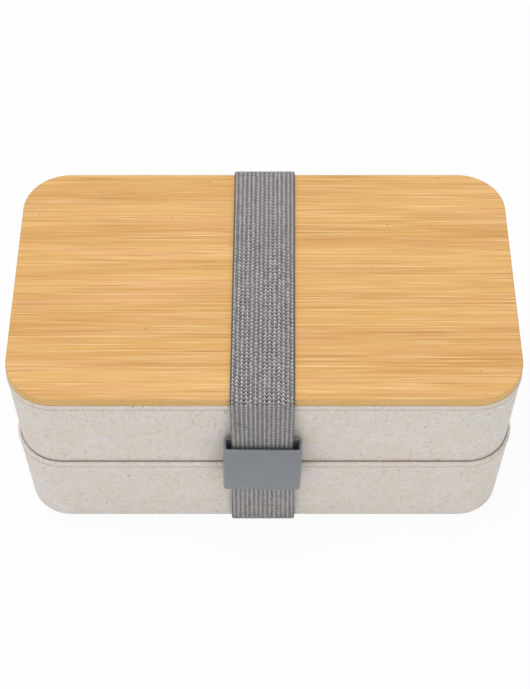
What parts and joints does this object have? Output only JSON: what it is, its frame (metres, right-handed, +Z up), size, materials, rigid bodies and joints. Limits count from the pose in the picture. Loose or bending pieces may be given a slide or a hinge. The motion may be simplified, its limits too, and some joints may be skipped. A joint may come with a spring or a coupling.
{
  "type": "bento lunch box",
  "caption": "Two-tier bento lunch box with a flat bamboo lid, nested speckled trays with rounded corners, and a ribbed elastic band with a plastic sleeve round the middle.",
  "frame": {"origin": "on the surface that the box stands on, under the middle of the lid", "axes": "+X along the length of the box, -Y towards the front with the sleeve, +Z up through the lid"},
  "size_m": [0.1906, 0.1194, 0.086],
  "materials": {
    "bamboo": "sanded and oiled bamboo board, grain along its length",
    "silicone": "soft satin silicone",
    "tray_plastic": "moulded plant-fibre plastic with fine straw flecks",
    "elastic_webbing": "ribbed woven elastic",
    "thread": "polyester sewing thread",
    "sleeve_plastic": "satin moulded plastic"
  },
  "bodies": {
    "lower_tray": {"lower_tray": "tray_plastic"},
    "upper_tray": {"upper_tray": "tray_plastic", "tray_seal": "silicone"},
    "lid": {"bamboo_lid": "bamboo", "lid_seal": "silicone"},
    "divider": {"divider": "tray_plastic"},
    "band_base": {"elastic_band_lower": "elastic_webbing"},
    "band_mid": {"band_sewn_lap": "elastic_webbing", "lap_stitching": "thread"},
    "band_top": {"elastic_band_upper": "elastic_webbing"},
    "sleeve": {"strap_sleeve": "sleeve_plastic"}
  },
  "joints": [
    {"name": "tray_lift", "type": "slide", "parent": "lower_tray", "child": "upper_tray", "axis": [0, 0, 1], "range_m": [0, 0.06]},
    {"name": "lid_lift", "type": "slide", "parent": "upper_tray", "child": "lid", "axis": [0, 0, 1], "range_m": [0, 0.05]},
    {"name": "divider_slide", "type": "slide", "parent": "upper_tray", "child": "divider", "axis": [1, 0, 0], "range_m": [-0.098, 0.042]},
    {"name": "band_slide", "type": "slide", "parent": "lower_tray", "child": "band_base", "axis": [1, 0, 0], "range_m": [-0.12, 0.12]},
    {"name": "band_mid_stretch", "type": "slide", "parent": "band_base", "child": "band_mid", "axis": [0, 0, 1], "range_m": [0, 0.06]},
    {"name": "band_top_stretch", "type": "slide", "parent": "band_mid", "child": "band_top", "axis": [0, 0, 1], "range_m": [0, 0.05]},
    {"name": "sleeve_slide", "type": "slide", "parent": "band_mid", "child": "sleeve", "axis": [0, 0, 1], "range_m": [-0.008, 0.008]}
  ],
  "couplings": [
    {"joint": "band_mid_stretch", "follows": "tray_lift", "ratio": 1},
    {"joint": "band_top_stretch", "follows": "lid_lift", "ratio": 1}
  ]
}
